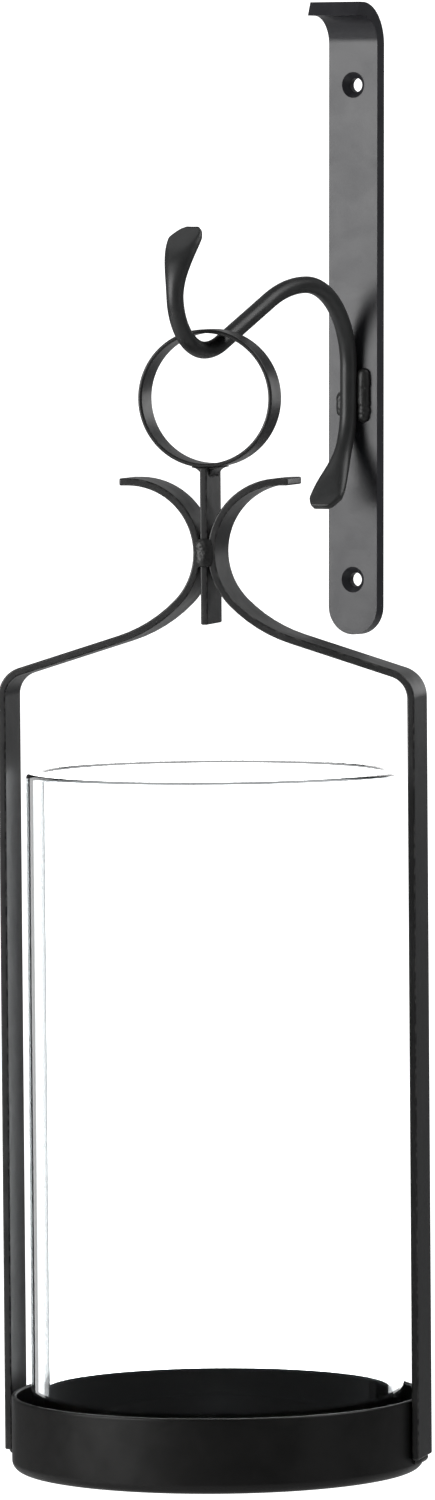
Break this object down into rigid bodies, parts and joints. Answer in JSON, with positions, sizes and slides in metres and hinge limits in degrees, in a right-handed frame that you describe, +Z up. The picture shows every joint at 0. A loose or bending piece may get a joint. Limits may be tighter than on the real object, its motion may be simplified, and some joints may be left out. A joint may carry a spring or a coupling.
{
  "type": "wall sconce candle holder",
  "caption": "Black iron wall bracket with a forged hook that holds a hanging hurricane lantern: a strap frame, a round tray and an open glass cylinder for a pillar candle.",
  "frame": {"origin": "midway between the two screw holes, on the back face of the wall plate, which lies on the wall", "axes": "+Z up, +Y into the wall, -Y out into the room, +X to the right of someone facing the wall"},
  "size_m": [0.1503, 0.173, 0.5127],
  "materials": {
    "plate_black": "satin black paint on flat steel bar",
    "hook_black": "satin black paint on a forged round steel bar",
    "lantern_black": "satin black paint on bent flat steel bar",
    "tray_black": "satin black paint on pressed steel sheet",
    "weld_black": "black paint over rough weld",
    "clear_glass": "clear, polished"
  },
  "bodies": {
    "bracket": {"wall_plate": "plate_black", "hook": "hook_black", "hook_welds": "weld_black"},
    "lantern": {"ring": "lantern_black", "ring_welds": "weld_black", "stem": "lantern_black", "left_strap": "lantern_black", "right_strap": "lantern_black", "waist_welds": "weld_black", "tray": "tray_black", "left_foot_weld": "weld_black", "right_foot_weld": "weld_black"},
    "glass": {"glass_cylinder": "clear_glass"}
  },
  "joints": [
    {"name": "lantern_sway", "type": "hinge", "parent": "bracket", "child": "lantern", "pos_m": [0, -0.1025, -0.0047], "axis": [0, 1, 0], "range_deg": [-25, 25]},
    {"name": "glass_lift", "type": "slide", "parent": "lantern", "child": "glass", "axis": [-0.0067, -0.0041, 1], "range_m": [0, 0.028]}
  ]
}
